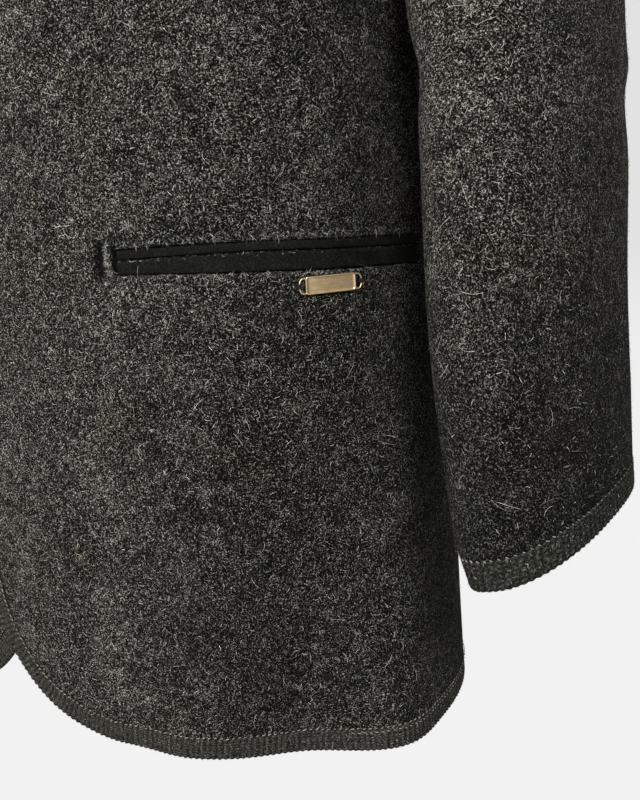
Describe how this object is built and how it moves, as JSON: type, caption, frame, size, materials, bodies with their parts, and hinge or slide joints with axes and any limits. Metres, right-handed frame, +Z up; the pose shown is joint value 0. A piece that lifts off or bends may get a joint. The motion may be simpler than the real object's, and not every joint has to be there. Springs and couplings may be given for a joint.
{
  "type": "wool jacket in its worn form",
  "caption": "Hip-length boiled-wool jacket in its worn, filled-out form, with a stand-up collar, knitted edge bands, two-piece sleeves and double-welt pockets.",
  "frame": {"origin": "middle of the neck opening, level with the inner ends of the shoulder seams", "axes": "+Z up, the front faces -Y, the wearer's left side is +X"},
  "size_m": [0.628, 0.2847, 0.7833],
  "materials": {
    "wool": "matt charcoal boiled wool",
    "knit": "matt ribbed knit",
    "welt": "smooth dark cloth",
    "pocketing": "plain woven cotton",
    "button": "dark polished horn",
    "brass": "satin antique brass"
  },
  "bodies": {
    "root": {"front_left": "wool", "front_band_left": "knit", "sleeve_upper_left": "wool", "sleeve_under_left": "wool", "cuff_band_left": "knit", "welt_upper_left": "welt", "welt_lower_left": "welt", "pocket_bag_left": "pocketing", "front_right": "wool", "front_band_right": "knit", "sleeve_upper_right": "wool", "sleeve_under_right": "wool", "cuff_band_right": "knit", "welt_upper_right": "welt", "welt_lower_right": "welt", "pocket_bag_right": "pocketing", "back": "wool", "back_band": "knit", "collar": "wool", "collar_band": "knit", "button_1": "button", "button_2": "button", "button_3": "button", "button_4": "button", "button_5": "button", "metal_label": "brass"}
  },
  "joints": []
}
